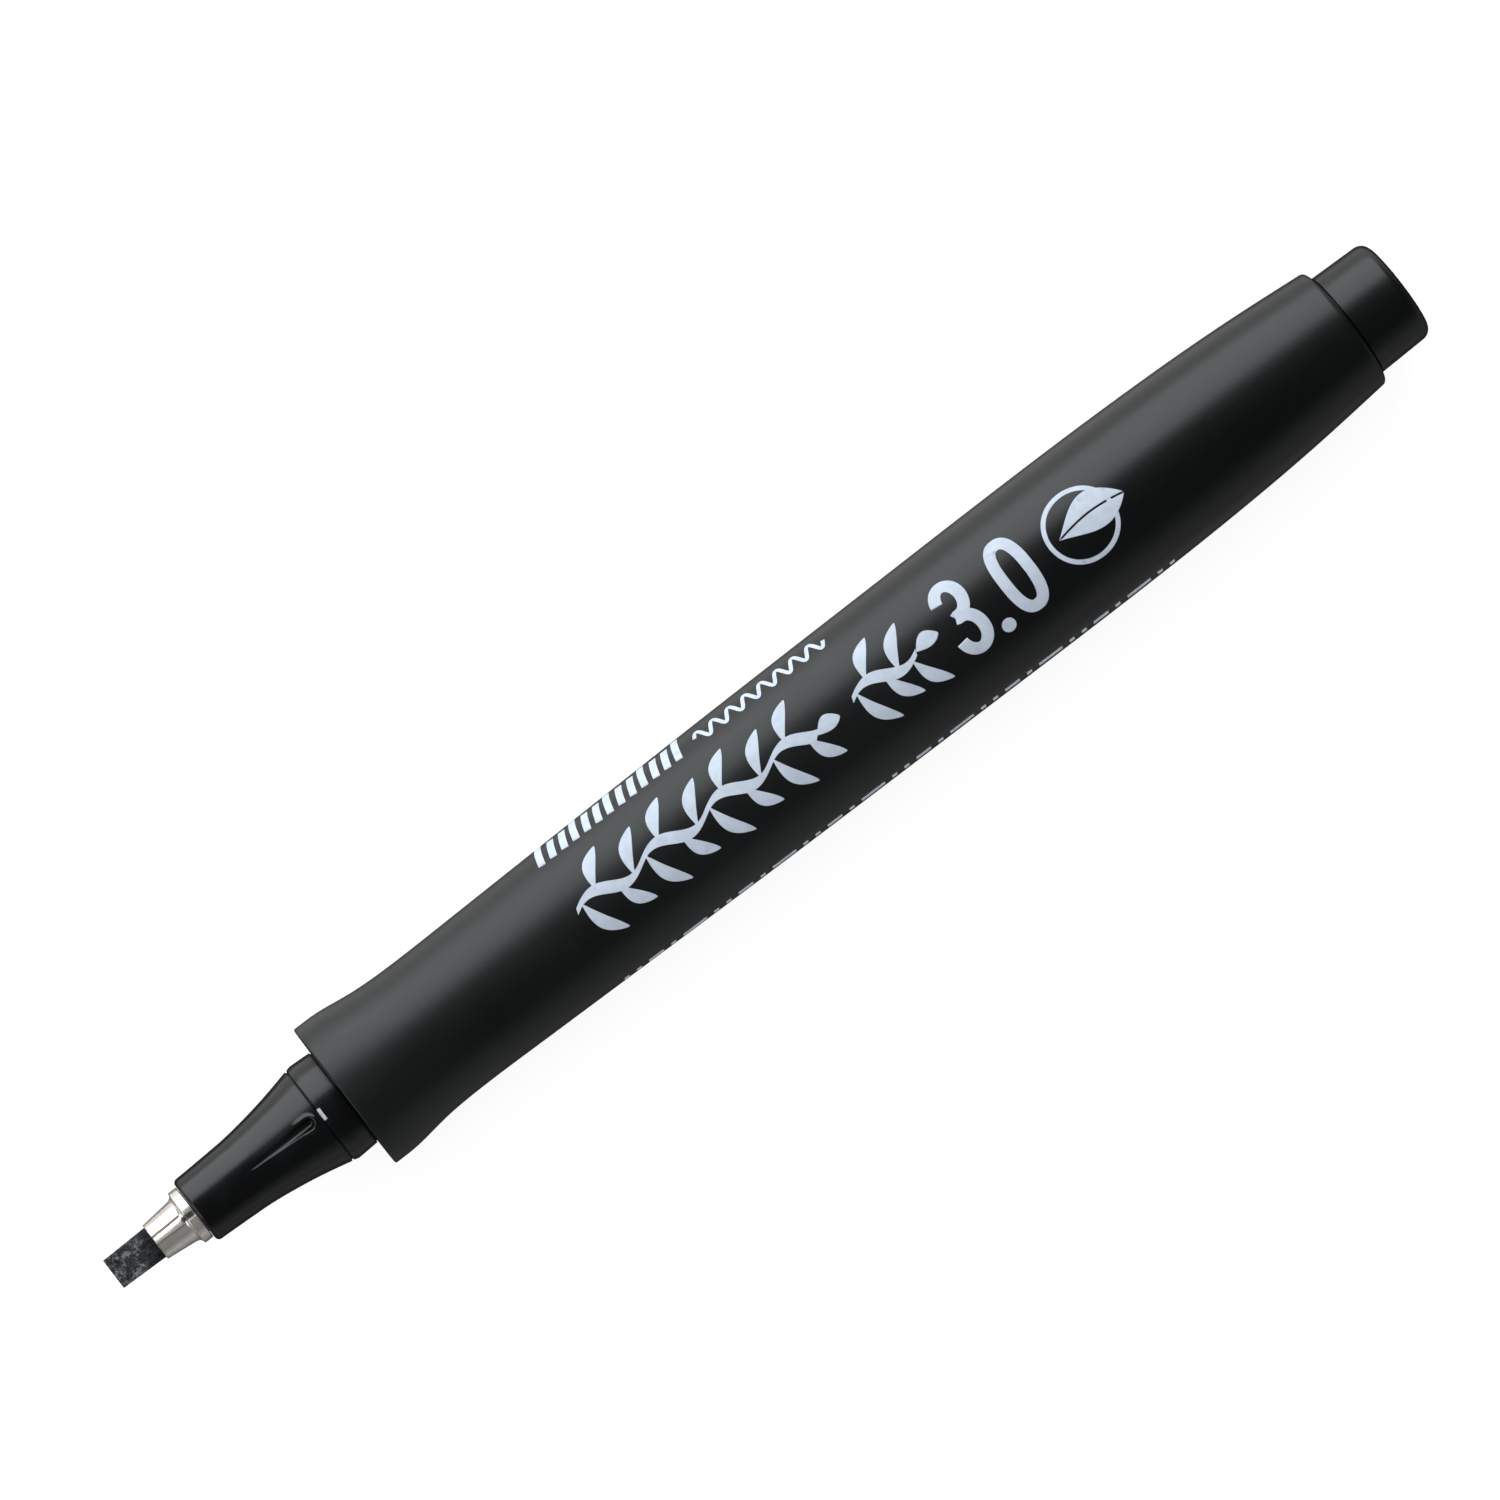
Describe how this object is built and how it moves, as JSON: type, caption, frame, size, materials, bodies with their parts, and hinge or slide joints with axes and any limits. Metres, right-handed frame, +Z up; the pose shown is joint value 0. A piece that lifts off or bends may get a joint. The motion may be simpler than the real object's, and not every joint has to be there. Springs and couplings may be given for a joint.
{
  "type": "calligraphy marker",
  "caption": "Felt-tip calligraphy marker with a chisel nib in a metal ferrule, a tapered nib holder, a slim waisted barrel and a stub at the tail for posting the cap.",
  "frame": {"origin": "on the surface that the marker lies on, below the middle of its length", "axes": "X along the marker, with the end plug towards +X and the nib towards -X; +Z up, with one of the holder's two vent slots and one face of the chisel nib on top"},
  "size_m": [0.133, 0.0136, 0.0137],
  "materials": {
    "barrel_plastic": "black, fine spark-eroded mould texture",
    "barrel_print": "pale screen-printed ink",
    "plug_plastic": "black, satin",
    "holder_plastic": "black, polished mould",
    "ferrule_metal": "nickel-plated, drawn and polished",
    "nib_fibre": "bonded fibre, inked black",
    "wick_fibre": "bonded fibre, inked",
    "reservoir_fibre": "fibre bundle, soaked with ink",
    "reservoir_film": "clear wrap"
  },
  "bodies": {
    "barrel": {"barrel": "barrel_plastic", "reservoir_core": "reservoir_fibre", "reservoir_film": "reservoir_film"},
    "end_plug": {"end_plug": "plug_plastic"},
    "nib_unit": {"nib_holder": "holder_plastic", "nib_ferrule": "ferrule_metal", "nib": "nib_fibre", "feed_wick": "wick_fibre"}
  },
  "joints": [
    {"name": "nib_unit_pull", "type": "slide", "parent": "barrel", "child": "nib_unit", "axis": [-1, 0, 0], "range_m": [0, 0.03]},
    {"name": "end_plug_pull", "type": "slide", "parent": "barrel", "child": "end_plug", "axis": [1, 0, 0], "range_m": [0, 0.018]}
  ]
}
